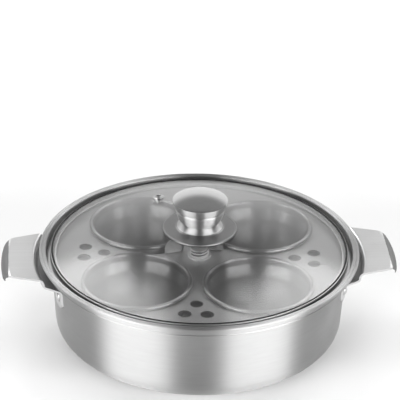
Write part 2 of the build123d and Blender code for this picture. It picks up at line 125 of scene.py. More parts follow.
@dataclass(frozen=True)
class Steel:
    """Stainless steel sheet, cold rolled and then ground or polished.

    It is a grey metal that takes its brightness from what it reflects. The grinding leaves
    fine lines that spread each reflection across them, and real lines 0.05 mm apart would
    not show, so they are drawn line_mm apart. Its roughness varies by the share swing over
    a faint cloud. Round lines change round_scale times over a radian's way round, and
    straight ones are straight_length lines long.
    """

    name: str
    slot: str
    colour: str = "b5b5b5"
    roughness: float = 0.3
    spread: float = 0.0
    grain: Grain = Grain.ROUND
    line_mm: float = 1.8
    line_depth: float = 0.12
    cloud: float = 0.04
    centre: tuple[float, float] = (0.0, 0.0)
    turn: float = 0.0
    cloud_mm: float = 28.0
    swing: float = 0.08
    line_height: float = 0.02
    round_scale: float = 6.0
    straight_length: float = 60.0

    def make(self) -> bpy.types.Material:
        """Builds the material: line noise and a faint cloud on colour, roughness and bump."""
        material, tree = new_material(self.name)
        place = add_node(
            tree,
            "ShaderNodeMapping",
            {
                0: add_node(tree, "ShaderNodeTexCoord").outputs["Object"],
                "Location": (-self.centre[0] * MM, -self.centre[1] * MM, 0.0),
            },
        )
        cloud = add_node(
            tree,
            "ShaderNodeTexNoise",
            {
                "Vector": place.outputs[0],
                "Scale": 1 / (self.cloud_mm * MM),
                "Detail": 3.0,
                "Roughness": 0.55,
            },
        )
        lines = self._lines(tree, place.outputs[0])
        height = add_node(
            tree,
            "ShaderNodeMath",
            {0: lines, 1: self.line_depth, 2: 1 - self.line_depth / 2},
            operation="MULTIPLY_ADD",
        )
        shade = add_node(
            tree,
            "ShaderNodeMath",
            {0: cloud.outputs["Fac"], 1: self.cloud, 2: -self.cloud / 2},
            operation="MULTIPLY_ADD",
        )
        tone = add_node(
            tree, "ShaderNodeMath", {0: height.outputs[0], 1: shade.outputs[0]}, operation="ADD"
        )
        colour = add_node(
            tree,
            "ShaderNodeMix",
            {0: 1.0, 6: linear(self.colour), 7: tone.outputs[0]},
            data_type="RGBA",
            blend_type="MULTIPLY",
        )
        rough = add_node(
            tree,
            "ShaderNodeMapRange",
            {
                0: cloud.outputs["Fac"],
                1: NOISE_RANGE[0],
                2: NOISE_RANGE[1],
                3: self.roughness * (1 - self.swing),
                4: self.roughness * (1 + self.swing),
            },
        )
        bump = add_node(
            tree,
            "ShaderNodeBump",
            {"Strength": BUMP_STRENGTH, "Distance": self.line_height * MM, "Height": lines},
        )
        shader = add_node(
            tree,
            "ShaderNodeBsdfPrincipled",
            {
                "Base Color": colour.outputs[2],
                "Metallic": 1.0,
                "Roughness": rough.outputs[0],
                "Anisotropic": self.spread,
                "Normal": bump.outputs[0],
            },
        )
        if self.spread:
            shader.inputs["Anisotropic Rotation"].default_value = self.turn
            tangent = add_node(tree, "ShaderNodeTangent", direction_type="UV_MAP", uv_map="brush")
            tree.links.new(tangent.outputs[0], shader.inputs["Tangent"])
        add_node(tree, "ShaderNodeOutputMaterial", {"Surface": shader.outputs[0]})
        return material

    def _lines(self, tree: bpy.types.NodeTree, place: bpy.types.NodeSocket) -> bpy.types.NodeSocket:
        """Adds noise drawn out along the grain.

        Round the axis, the noise is read at (direction x round_scale, radius / line) with
        height / line as its fourth dimension, so that it changes little with the angle. Along
        X it is read at (x / straight_length lines, y / line, z / line).

        Args:
            tree: The material's node tree.
            place: Coordinates about the piece's own axis, in metres.

        Returns:
            The noise's output.
        """
        fine = 1 / (self.line_mm * MM)
        parts = add_node(tree, "ShaderNodeSeparateXYZ", {0: place})
        if self.grain is Grain.ROUND:
            flat = add_node(tree, "ShaderNodeCombineXYZ", {0: parts.outputs[0], 1: parts.outputs[1]})
            radius = add_node(tree, "ShaderNodeVectorMath", {0: flat.outputs[0]}, operation="LENGTH")
            facing = add_node(tree, "ShaderNodeVectorMath", {0: flat.outputs[0]}, operation="NORMALIZE")
            sides = add_node(tree, "ShaderNodeSeparateXYZ", {0: facing.outputs[0]})
            *spot, level = [
                add_node(tree, "ShaderNodeMath", {0: value, 1: scale}, operation="MULTIPLY").outputs[0]
                for value, scale in (
                    (sides.outputs[0], self.round_scale),
                    (sides.outputs[1], self.round_scale),
                    (radius.outputs["Value"], fine),
                    (parts.outputs[2], fine),
                )
            ]
            where = add_node(tree, "ShaderNodeCombineXYZ", dict(enumerate(spot)))
            noise = add_node(
                tree,
                "ShaderNodeTexNoise",
                {"Vector": where.outputs[0], "W": level, "Scale": 1.0, "Detail": 2.0},
                noise_dimensions="4D",
            )
        else:
            along = fine / self.straight_length if self.grain is Grain.ALONG else fine
            where = add_node(
                tree,
                "ShaderNodeVectorMath",
                {0: place, 1: (along, fine, fine)},
                operation="MULTIPLY",
            )
            noise = add_node(
                tree, "ShaderNodeTexNoise", {"Vector": where.outputs[0], "Scale": 1.0, "Detail": 2.0}
            )
        return noise.outputs["Fac"]


@dataclass(frozen=True)
class TemperedGlass:
    """Float glass, bent and tempered: clear with a faint grey cast, and mirror smooth.

    What reaches the eye is the view through it, dimmed a little, under the reflection that
    grows towards its edges. The share that is reflected is the same on both faces of the
    sheet: face_on + (1 - face_on) * (1 - cosine of the slant) ** power. The bend leaves
    waves about wave_mm long that change the roughness by the share swing.
    """

    name: str
    slot: str
    tint: str = "ebebeb"
    mirror: str = "f5f5f5"
    roughness: float = 0.2
    swing: float = 0.15
    wave_mm: float = 90.0
    face_on: float = 0.06
    power: float = 5.0

    def make(self) -> bpy.types.Material:
        """Builds the material: a mirror over clear glass, mixed by Fresnel's law."""
        material, tree = new_material(self.name)
        coordinates = add_node(tree, "ShaderNodeTexCoord")
        wave = add_node(
            tree,
            "ShaderNodeTexNoise",
            {"Vector": coordinates.outputs["Object"], "Scale": 1 / (self.wave_mm * MM), "Detail": 1.0},
        )
        rough = add_node(
            tree,
            "ShaderNodeMapRange",
            {
                0: wave.outputs["Fac"],
                3: self.roughness * (1 - self.swing),
                4: self.roughness * (1 + self.swing),
            },
        )
        clear = add_node(tree, "ShaderNodeBsdfTransparent", {"Color": linear(self.tint)})
        shine = add_node(
            tree,
            "ShaderNodeBsdfPrincipled",
            {"Base Color": linear(self.mirror), "Metallic": 1.0, "Roughness": rough.outputs[0]},
        )
        slant = add_node(tree, "ShaderNodeLayerWeight", {"Blend": 0.5})
        rise = add_node(
            tree, "ShaderNodeMath", {0: slant.outputs["Facing"], 1: self.power}, operation="POWER"
        )
        share = add_node(
            tree,
            "ShaderNodeMath",
            {0: rise.outputs[0], 1: 1 - self.face_on, 2: self.face_on},
            operation="MULTIPLY_ADD",
        )
        mixed = add_node(
            tree, "ShaderNodeMixShader", {0: share.outputs[0], 1: clear.outputs[0], 2: shine.outputs[0]}
        )
        add_node(tree, "ShaderNodeOutputMaterial", {"Surface": mixed.outputs[0]})
        return material


@dataclass(frozen=True)
class Moulded:
    """Moulded polymer or rubber: no lines, a fine even grain from the mould.

    It looks dark and dull, with a soft sheen that the grain breaks up.
    """

    name: str
    slot: str
    colour: str = "18181a"
    roughness: float = 0.55
    swing: float = 0.1
    grain_mm: float = 0.8
    grain_height: float = 0.05

    def make(self) -> bpy.types.Material:
        """Builds the material: a plain dark surface with a pebbled bump."""
        material, tree = new_material(self.name)
        coordinates = add_node(tree, "ShaderNodeTexCoord")
        grain = add_node(
            tree,
            "ShaderNodeTexNoise",
            {"Vector": coordinates.outputs["Object"], "Scale": 1 / (self.grain_mm * MM), "Detail": 2.0},
        )
        bump = add_node(
            tree,
            "ShaderNodeBump",
            {
                "Strength": BUMP_STRENGTH,
                "Distance": self.grain_height * MM,
                "Height": grain.outputs["Fac"],
            },
        )
        rough = add_node(
            tree,
            "ShaderNodeMapRange",
            {
                0: grain.outputs["Fac"],
                3: self.roughness * (1 - self.swing),
                4: self.roughness * (1 + self.swing),
            },
        )
        shader = add_node(
            tree,
            "ShaderNodeBsdfPrincipled",
            {"Base Color": linear(self.colour), "Roughness": rough.outputs[0], "Normal": bump.outputs[0]},
        )
        add_node(tree, "ShaderNodeOutputMaterial", {"Surface": shader.outputs[0]})
        return material


Finish = Steel | TemperedGlass | Moulded


class Finishes:
    """Makes each finish once and hands out its material."""

    def __init__(self) -> None:
        """Starts with no material made."""
        self.made: dict[Finish, bpy.types.Material] = {}

    def of(self, finish: Finish) -> bpy.types.Material:
        """Returns the finish's material, made on its first use."""
        if finish not in self.made:
            self.made[finish] = finish.make()
        return self.made[finish]


FINISHES = Finishes()

# Brushed in rings, so that each light becomes an upright band.
PAN_STEEL = Steel("stainless_steel_brushed_round", "pan_steel", "a8a8a8", 0.48, spread=0.95, turn=0.25)
# Polished inside, and painted darker than the outside: painted shade inside the pan.
PAN_INSIDE_SHADED = Steel("stainless_steel_polished_inside_painted_shade", "pan_steel", "9a9a9a", 0.36, spread=0.9, turn=0.25)
# Satin along its length; where the sheet is bent down it is duller and painted darker: painted shade.
HANDLE_STEEL = Steel("stainless_steel_satin_handle", "handle_steel", "c0c0c0", 0.36, grain=Grain.ALONG)
END_SHADE_STEEL = replace(HANDLE_STEEL, name="stainless_steel_bent_end_painted_shade", colour="747474", roughness=0.64)
# Pressed and polished: small bright spots.
RIVET_STEEL = Steel("stainless_steel_polished_rivet", "rivet_steel", "c8c8c8", 0.2, grain=Grain.NONE)
# As it comes from the rolls, an even grey with faint straight lines.
TRAY_STEEL = Steel(
    "stainless_steel_cold_rolled_tray", "tray_steel", "c4c4c4", 0.38, grain=Grain.ALONG, line_depth=0.05
)
# The tabs: rougher, and painted darker than the plate: painted shade.
TAB_SHADE_STEEL = replace(TRAY_STEEL, name="stainless_steel_bent_tab_painted_shade", colour="a8a8a8", roughness=0.55)
# Turned bright, with painted shade in the thread's grooves.
STUD_STEEL = Steel("turned_steel_bright", "stud_steel", "e2e2e2", 0.52, line_depth=0.02)
GROOVE_SHADE_STEEL = replace(STUD_STEEL, name="turned_steel_thread_groove_painted_shade", colour="6c6c6c")
# Polished outside, painted near black as shade where it hooks over the glass, and dull inside with a pale
# colour that is painted light.
BAND_STEEL = Steel("stainless_steel_polished_band", "band_steel", "a6a6a6", 0.32, line_depth=0.02)
HOOK_SHADE_STEEL = replace(BAND_STEEL, name="stainless_steel_band_hook_painted_shade", colour="202020", roughness=0.5)
# The band's inner side: duller, and painted pale: painted light.
BAND_INSIDE_LIT = replace(BAND_STEEL, name="stainless_steel_band_inside_painted_light", colour="f0f0f0", roughness=0.65)
# Spun, so that each light is drawn out round the knob; the cap is the smoothest, and the skirt's flare is
# painted dark: painted shade.
KNOB_STEEL = Steel("stainless_steel_spun_knob", "knob_steel", "a8a8a8", 0.46, spread=0.93, turn=0.25)
CAP_STEEL = Steel("stainless_steel_spun_cap", "knob_steel", "c8c8c8", 0.2)
SKIRT_SHADE_STEEL = Steel("stainless_steel_spun_skirt_painted_shade", "knob_steel", "6c6c6c", 0.4)
LID_GLASS = TemperedGlass("tempered_glass_dome", "lid_glass")
KNOB_POLYMER = Moulded("phenolic_boss", "insert_polymer")
GASKET_RUBBER = Moulded("silicone_rubber_washer", "gasket_rubber", "121213", 0.7)


# Shapes


def rounded(
    points: Sequence[tuple[float, float]], bends: Sequence[float], step: float = 10.0
) -> np.ndarray:
    """Rounds the inner corners of a run of (radius, height) points with arcs.

    Each corner becomes an arc that touches both straights: its centre lies on the corner's
    bisector at bend / sin(half angle), and it is divided evenly by angle.

    Args:
        points: The corners, ends included.
        bends: One radius for each inner corner.
        step: Most degrees that the line turns at a point of an arc.

    Returns:
        The rounded line, one row per point.
    """
    corner = np.array(points, float)
    line = [corner[:1]]
    for i, bend in enumerate(bends, start=1):
        before = corner[i - 1] - corner[i]
        after = corner[i + 1] - corner[i]
        before /= np.linalg.norm(before)
        after /= np.linalg.norm(after)
        half = np.arccos(np.clip(before @ after, -1, 1)) / 2
        bisector = (before + after) / np.linalg.norm(before + after)
        centre = corner[i] + bisector * bend / np.sin(half)
        start = corner[i] + before * bend / np.tan(half) - centre
        end = corner[i] + after * bend / np.tan(half) - centre
        first = np.arctan2(start[1], start[0])
        sweep = np.arctan2(start[0] * end[1] - start[1] * end[0], start @ end)
        count = max(2, math.ceil(abs(math.degrees(sweep)) / step))
        angle = first + sweep * np.linspace(0, 1, count + 1)
        line.append(centre + bend * np.stack([np.cos(angle), np.sin(angle)], axis=1))
    line.append(corner[-1:])
    return np.concatenate(line)


def drawn(line: np.ndarray, spacing: float) -> np.ndarray:
    """Adds points to a line so that no step is longer than spacing.

    Args:
        line: Points of the line.
        spacing: Longest step, in the line's unit.

    Returns:
        The line with its own points kept and even ones put between them.
    """
    step = np.linalg.norm(np.diff(line, axis=0), axis=1)
    count = np.maximum(1, np.ceil(step / spacing).astype(int))
    index = np.repeat(np.arange(len(step)), count)
    share = np.concatenate([np.arange(n) / n for n in count])
    return np.concatenate([line[index] + (line[index + 1] - line[index]) * share[:, None], line[-1:]])


def skin(line: np.ndarray, thickness: float, to_axis: bool = False) -> np.ndarray:
    """Gives a line the thickness of sheet, as one loop round both of its sides.

    Each side is the line moved by half the thickness along its normal, and each free end
    is closed by a half circle. A line that ends on the axis has no cap there.

    Args:
        line: (radius, height) points.
        thickness: Sheet thickness.
        to_axis: True if the last point lies on the axis.

    Returns:
        The loop, from the last point's one side round the first end to its other side.
    """
    half = thickness / 2
    run = np.gradient(line, axis=0)
    step = np.diff(line, axis=0)
    step /= np.linalg.norm(step, axis=1)[:, None]
    run[1:-1] = step[1:] + step[:-1]
    run[0], run[-1] = step[0], step[-1]
    run /= np.linalg.norm(run, axis=1)[:, None]
    normal = np.stack([-run[:, 1], run[:, 0]], axis=1)
    angle = np.linspace(0, np.pi, END_STEPS + 1)[1:-1, None]
    first = line[0] + half * (normal[0] * np.cos(angle) - run[0] * np.sin(angle))
    last = line[-1] + half * (-normal[-1] * np.cos(angle) + run[-1] * np.sin(angle))
    loop = [(line + normal * half)[::-1], first, line - normal * half]
    if not to_axis:
        loop.append(last)
    return np.concatenate(loop)


def write_mesh(name: str, points: np.ndarray, closed: bool) -> bpy.types.Object:
    """Puts a turned profile's grid of points into a mesh of quads, merged, with normals outwards.

    Each quad joins two rows and two columns that follow each other, and the last column is
    followed by the first. Its "brush" map is (column / columns, row / rows).

    Args:
        name: The piece's name.
        points: Rows by columns by (x, y, z), in millimetres.
        closed: Whether the last row is followed by the first.

    Returns:
        The new object, at the origin.
    """
    rows, columns = points.shape[:2]
    row, column = np.meshgrid(np.arange(rows if closed else rows - 1), np.arange(columns), indexing="ij")
    row, column = row.ravel(), column.ravel()
    corner_rows = np.stack([row, row, row + 1, row + 1], axis=1)
    corner_columns = np.stack([column, column + 1, column + 1, column], axis=1)
    faces = (corner_rows % rows) * columns + corner_columns % columns
    mesh = bpy.data.meshes.new(name)
    mesh.from_pydata((points.reshape(-1, 3) * MM).tolist(), [], faces.tolist())
    brush = mesh.uv_layers.new(name="brush")
    where = np.stack([corner_columns / columns, corner_rows / rows], axis=2).reshape(-1)
    brush.data.foreach_set("uv", where.astype(np.float32))
    return finish_mesh(name, mesh)


def finish_mesh(name: str, mesh: bpy.types.Mesh, outward: bool = True) -> bpy.types.Object:
    """Merges a mesh's doubled points, turns its faces outwards and shades it smooth.

    Args:
        name: The piece's name.
        mesh: The mesh.
        outward: Whether the normals are worked out afresh.

    Returns:
        A new object with the mesh, at the origin.
    """
    work = bmesh.new()
    work.from_mesh(mesh)
    bmesh.ops.remove_doubles(work, verts=work.verts, dist=MERGED)
    if outward:
        bmesh.ops.recalc_face_normals(work, faces=work.faces)
    work.to_mesh(mesh)
    work.free()
    mesh.shade_smooth()
    mesh.set_sharp_from_angle(angle=SHARP)
    piece = bpy.data.objects.new(name, mesh)
    bpy.context.scene.collection.objects.link(piece)
    return piece


def revolve(
    name: str,
    profile: np.ndarray,
    segments: int,
    closed: bool = True,
    place: Matrix | None = None,
    wave: np.ndarray | None = None,
) -> bpy.types.Object:
    """Turns a profile about the Z axis: (r, z) goes to (r cos a, r sin a, z) for each angle a.

    Args:
        name: The piece's name.
        profile: (radius, height) points.
        segments: Steps round the axis.
        closed: Whether the profile is a loop; if not, its ends lie on the axis.
        place: Where the piece's own axis stands, in millimetres.
        wave: Amounts that are added to the radius, rows by segments, as for a thread.

    Returns:
        The new object.
    """
    angle = np.linspace(0, 2 * np.pi, segments, endpoint=False)
    radius = profile[:, :1] + (0 if wave is None else wave)
    height = np.broadcast_to(profile[:, 1:], (len(profile), segments))
    points = np.stack([radius * np.cos(angle), radius * np.sin(angle), height], axis=2)
    if place is not None:
        turned = np.array(place)
        points = points @ turned[:3, :3].T + turned[:3, 3]
    return write_mesh(name, points, closed)


def dress(piece: bpy.types.Object, body: str, finish: Finish, *nodes: str) -> bpy.types.Object:
    """Gives a piece its finish, its body and the CAD nodes it stands for, and reports it.

    Args:
        piece: The finished piece.
        body: The CAD body it rides on.
        finish: Its finish.
        nodes: CAD nodes that it replaces.

    Returns:
        The same piece.
    """
    piece.data.materials.clear()
    piece.data.materials.append(FINISHES.of(finish))
    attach(piece, body)
    if nodes:
        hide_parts(*nodes)
    LOG.info("%s: %d faces, %s", piece.name, len(piece.data.polygons), finish.name)
    return piece


def face_middles(piece: bpy.types.Object) -> np.ndarray:
    """Returns the middle of each of a piece's faces, in millimetres."""
    middle = np.empty(len(piece.data.polygons) * 3, np.float32)
    piece.data.polygons.foreach_get("center", middle)
    return middle.reshape(-1, 3) / MM


def from_axis(piece: bpy.types.Object, centre: tuple[float, float] = (0.0, 0.0)) -> np.ndarray:
    """Returns how far the middle of each of a piece's faces is from an upright axis, in millimetres."""
    return np.hypot(*(face_middles(piece)[:, :2] - centre).T)


def refinish(piece: bpy.types.Object, finish: Finish, chosen: np.ndarray) -> None:
    """Gives some of a piece's faces another finish.

    Args:
        piece: A piece that has its first finish.
        finish: The other finish.
        chosen: True for each face that takes it.
    """
    piece.data.materials.append(FINISHES.of(finish))
    index = np.empty(len(chosen), np.int32)
    piece.data.polygons.foreach_get("material_index", index)
    index[chosen] = len(piece.data.materials) - 1
    piece.data.polygons.foreach_set("material_index", index)


def line_inside(
    shell: bpy.types.Object, finish: Finish, limit: float, centre: tuple[float, float] = (0.0, 0.0)
) -> None:
    """Gives the inner side of a drawn shell a finish of its own.

    The second half of the shell's loop, where the brush map's height is over a half, is its
    inner side; only its faces nearer to the axis than the limit take the finish.

    Args:
        shell: A shell made by revolve from a skin.
        finish: The finish of its inner side.
        limit: Greatest distance from the axis, in millimetres.
        centre: Where the shell's axis stands, in millimetres.
    """
    mesh = shell.data
    where = np.empty(len(mesh.loops) * 2, np.float32)
    mesh.uv_layers["brush"].data.foreach_get("uv", where)
    first = np.empty(len(mesh.polygons), np.int32)
    mesh.polygons.foreach_get("loop_start", first)
    refinish(shell, finish, (where[1::2][first] >= 0.5) & (from_axis(shell, centre) < limit))


def from_node(node: str) -> bpy.types.Object:
    """Copies a CAD node's mesh, merged and shaded smooth, as a piece that can be bevelled."""
    return finish_mesh(node + "_formed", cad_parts[node].data.copy(), outward=False)


def soften(piece: bpy.types.Object, width: float) -> None:
    """Rounds a piece's sharp edges and keeps its flat faces flat in the shading.

    Args:
        piece: The piece.
        width: Width of the bevel, in millimetres.
    """
    bevel = piece.modifiers.new("edge", "BEVEL")
    bevel.width = width * MM
    bevel.segments = 2
    bevel.limit_method = "ANGLE"
    bevel.angle_limit = SOFTENED
    bevel.harden_normals = True
    flat = piece.modifiers.new("flat_faces", "WEIGHTED_NORMAL")
    flat.keep_sharp = True


# Sub-assemblies


@dataclass
class Pan:
    """The pan: one pressed sheet with a lip, collar, ledge, tapering wall and ringed floor.

    A fine line is pressed round the lip's top and one round the collar. Beyond handle_end,
    the handles are bent down, duller and painted darker: painted shade.
    """

    height: float = 84.987
    sheet: float = 0.8
    lip_radius: float = 148.0
    lip_drop: float = 2.6
    collar_radius: float = 142.0
    collar_height: float = 10.5
    ledge_radius: float = 136.0
    foot_radius: float = 132.4
    corner: float = 18.0
    ring_radii: tuple[float, ...] = (100.0, 85.5, 70.0, 55.5, 41.0)
    ring_rises: tuple[float, ...] = (0.3, 0.3, 1.0, 1.0, 1.0)
    ring_width: float = 7.0
    ring_top: float = 1.6
    groove_width: float = 2.2
    groove_floor: float = 0.5
    groove_depth: float = 0.5
    lip_groove: float = 145.2
    collar_groove: float = 1.7
    groove_bend: float = 0.1
    lip_bend: float = 1.2
    collar_bend: float = 1.0
    step_bend: float = 0.5
    ledge_bend: float = 1.0
    ring_bend: float = 2.0
    point_spacing: float = 4.0
    segments: int = 224
    handle_end: float = 176.2
    handle_edge: float = 0.5

    def wall(self, height: float) -> float:
        """Radius of the middle of the wall at a height."""
        top = self.ledge_radius + self.sheet / 2
        ledge = self.height - self.collar_height
        return self.foot_radius + (top - self.foot_radius) / (ledge - self.sheet / 2) * height

    def line(self) -> np.ndarray:
        """Works out the middle of the sheet from the lip's edge to the middle of the floor."""
        half = self.sheet / 2
        middle = self.collar_radius + half
        step = self.height - self.collar_height - half
        wide, floor = self.groove_width / 2, self.groove_floor / 2
        cut = ((wide, 0.0), (floor, self.groove_depth), (-floor, self.groove_depth), (-wide, 0.0))
        top = self.height - half
        low = step + self.collar_groove
        points = [
            (self.lip_radius - half, self.height - self.lip_drop),
            (self.lip_radius - half, top),
            *((self.lip_groove + away, top - deep) for away, deep in cut),
            (middle, top),
            *((middle - deep, low + away) for away, deep in cut),
            (middle, step),
            (self.wall(step), step),
            (self.wall(half), half),
        ]
        groove_bends = [self.groove_bend] * len(cut)
        bends = [self.lip_bend, *groove_bends, self.collar_bend, *groove_bends]
        bends += [self.step_bend, self.ledge_bend, self.corner]
        for centre, rise in zip(self.ring_radii, self.ring_rises):
            points += [
                (centre + self.ring_width / 2, half),
                (centre + self.ring_top / 2, half + rise),
                (centre - self.ring_top / 2, half + rise),
                (centre - self.ring_width / 2, half),
            ]
            bends += [self.ring_bend] * 4
        points.append((0.0, half))
        return drawn(rounded(points, bends), self.point_spacing)

    def build(self) -> None:
        """Builds the pan's sheet, its handles and its rivets."""
        profile = skin(self.line(), self.sheet, to_axis=True)
        shell = revolve("pan_shell", profile, self.segments, closed=False)
        dress(shell, "pan", PAN_STEEL, "pan_body")
        # The inner side takes the smoother finish, painted darker: painted shade.
        line_inside(shell, PAN_INSIDE_SHADED, self.collar_radius)
        for side in ("left", "right"):
            handle = from_node("handle_" + side)
            soften(handle, self.handle_edge)
            dress(handle, "pan", HANDLE_STEEL, "handle_" + side)
            # Painted shade: the bent-down ends take a darker colour.
            refinish(handle, END_SHADE_STEEL, np.abs(face_middles(handle)[:, 0]) > self.handle_end)
            rivets = from_node("rivets_" + side)
            dress(rivets, "pan", RIVET_STEEL, "rivets_" + side)


@dataclass
class Cup:
    """A deep-drawn cup: rolled rim, short straight wall and a round bottom."""

    name: str
    body: str
    column: int
    row: int
    spacing: float = 109.974
    turn: float = -5.7
    tray_top: float = 75.487
    seat_gap: float = 0.2
    rim_radius: float = 50.737
    curl_radius: float = 2.0
    sheet: float = 0.6
    bowl_radius: float = 44.587
    wall_depth: float = 16.0
    bend: float = 3.0
    curl_start: float = -110.0
    curl_points: int = 29
    bottom_points: int = 41
    point_spacing: float = 2.5
    segments: int = 128
    inside_margin: float = 1.0

    def centre(self) -> tuple[float, float]:
        """The cup's axis in the pan's frame."""
        a = math.radians(self.turn)
        x, y = self.column * self.spacing / 2, self.row * self.spacing / 2
        return (x * math.cos(a) - y * math.sin(a), x * math.sin(a) + y * math.cos(a))

    def line(self) -> np.ndarray:
        """Works out the middle of the sheet: the curl's arc, the wall, then a quarter circle.

        The curl starts curl_start degrees from level outside the rim, and ends at its inner
        side, where the wall goes down.
        """
        half = self.sheet / 2
        curl = self.curl_radius - half
        level = self.tray_top + self.seat_gap + self.curl_radius
        middle = self.rim_radius - self.curl_radius
        shoulder = level - self.wall_depth
        bowl = self.bowl_radius - half
        roll = np.radians(np.linspace(self.curl_start, 180, self.curl_points))
        rim = np.stack([middle + curl * np.cos(roll), level + curl * np.sin(roll)], axis=1)
        wall = rounded(
            [
                (middle - curl, level),
                (middle - curl, level - self.curl_radius - self.bend),
                (bowl, shoulder),
            ],
            [self.bend],
        )
        drop = np.radians(np.linspace(0, -90, self.bottom_points))
        bottom = np.stack([bowl * np.cos(drop), shoulder + bowl * np.sin(drop)], axis=1)
        return drawn(np.concatenate([rim, wall[1:-1], bottom]), self.point_spacing)

    def build(self) -> None:
        """Builds the cup on its own axis in the tray, satin outside and polished inside, where it is
        painted darker as shade.
        """
        x, y = self.centre()
        profile = skin(self.line(), self.sheet, to_axis=True)
        place = Matrix.Translation((x, y, 0))
        piece = revolve("cup_shell_" + self.name, profile, self.segments, closed=False, place=place)
        outside = Steel(
            "stainless_steel_satin_cup_" + self.name,
            "cup_steel",
            "bcbcbc",
            0.6,
            spread=0.85,
            turn=0.25,
            centre=(x, y),
        )
        # The inside: smoother, and painted darker than the outside: painted shade.
        inside = replace(
            outside,
            name="stainless_steel_polished_cup_" + self.name,
            colour="9c9c9c",
            roughness=0.34,
            spread=0.9,
        )
        dress(piece, self.body, outside, "cup_" + self.name)
        line_inside(piece, inside, self.rim_radius + self.inside_margin, (x, y))


@dataclass
class Stud:
    """Threaded stub in the middle of the tray, with its collar and shank."""

    tray_top: float = 75.487
    radius: float = 8.5
    height: float = 7.0
    collar_radius: float = 11.0
    collar_height: float = 1.4
    shank_radius: float = 5.0
    shank_bottom: float = 64.487
    chamfer: float = 0.8
    pitch: float = 3.0
    depth: float = 1.2
    flank: float = 3.0
    ridge: float = 0.35
    fade: float = 0.8
    undercut: float = 0.9
    clearance: float = 0.02
    crown_step: float = 0.2
    edges: tuple[float, ...] = (0.4, 0.05, 0.2, 0.4)
    arc_step: float = 20.0
    thread_rows: int = 57
    segments: int = 72

    def build(self) -> None:
        """Builds the stud with its thread.

        The thread lowers the radius by depth times a wave: how far the phase, height / pitch
        minus angle / full turn, is from the ridge's middle, times flank, less ridge, held
        between 0 and 1. It fades out next to the collar and ends in the chamfer. Where it is
        cut deeper than half the depth, it is painted dark: painted shade in the grooves.
        """
        foot = self.tray_top + self.collar_height
        top = foot + self.height
        collar = rounded(
            [
                (0.0, self.shank_bottom),
                (self.shank_radius, self.shank_bottom),
                (self.shank_radius, self.tray_top),
                (self.collar_radius, self.tray_top),
                (self.collar_radius, foot),
                (self.radius - self.undercut, foot),
            ],
            self.edges,
            self.arc_step,
        )
        rows = np.linspace(foot + self.clearance, top - self.clearance, self.thread_rows)
        thread = np.stack([np.full(self.thread_rows, self.radius), rows], axis=1)
        crown = np.array([(self.radius - self.chamfer - self.crown_step, top), (0.0, top)])
        profile = np.concatenate([collar, thread, crown])
        level = profile[:, 1:] - foot
        phase = (level / self.pitch - np.linspace(0, 1, self.segments, endpoint=False)) % 1
        groove = np.clip(np.abs(phase - 0.5) * self.flank - self.ridge, 0, 1)
        fade = np.clip(level / self.fade, 0, 1)
        chamfer = np.clip(level - (self.height - self.chamfer), 0, self.chamfer)
        drop = np.maximum(self.depth * groove * fade, chamfer)
        drop[: len(collar)] = 0
        drop[len(collar) + len(thread) :] = 0
        stud = revolve("stud_threaded", profile, self.segments, closed=False, wave=-drop)
        dress(stud, "tray", STUD_STEEL, "centre_stud")
        height = face_middles(stud)[:, 2]
        cut = (height > foot + self.chamfer) & (height < top - self.chamfer)
        # Painted shade: the deep part of the thread's grooves takes a dark colour.
        refinish(stud, GROOVE_SHADE_STEEL, cut & (from_axis(stud) < self.radius - self.depth / 2))


@dataclass
class Tray:
    """The tray's plate with its holes and tabs, and what is fastened in its middle.

    The tabs stand up from the sheet above its top. They are rougher than the plate and
    painted darker: painted shade.
    """

    top: float = 75.487
    tab_start: float = 0.6
    edge: float = 0.22
    fastener_edge: float = 0.2

    def build(self) -> None:
        """Builds the plate, the stud, the washer and the nut."""
        plate = from_node("tray_plate")
        soften(plate, self.edge)
        dress(plate, "tray", TRAY_STEEL, "tray_plate")
        # Painted shade: faces above the sheet's top, the tabs, take a darker colour.
        refinish(plate, TAB_SHADE_STEEL, face_middles(plate)[:, 2] > self.top + self.tab_start)
        Stud().build()
        for node in ("stud_washer", "stud_nut"):
            piece = from_node(node)
            soften(piece, self.fastener_edge)
            dress(piece, "tray", STUD_STEEL, node)


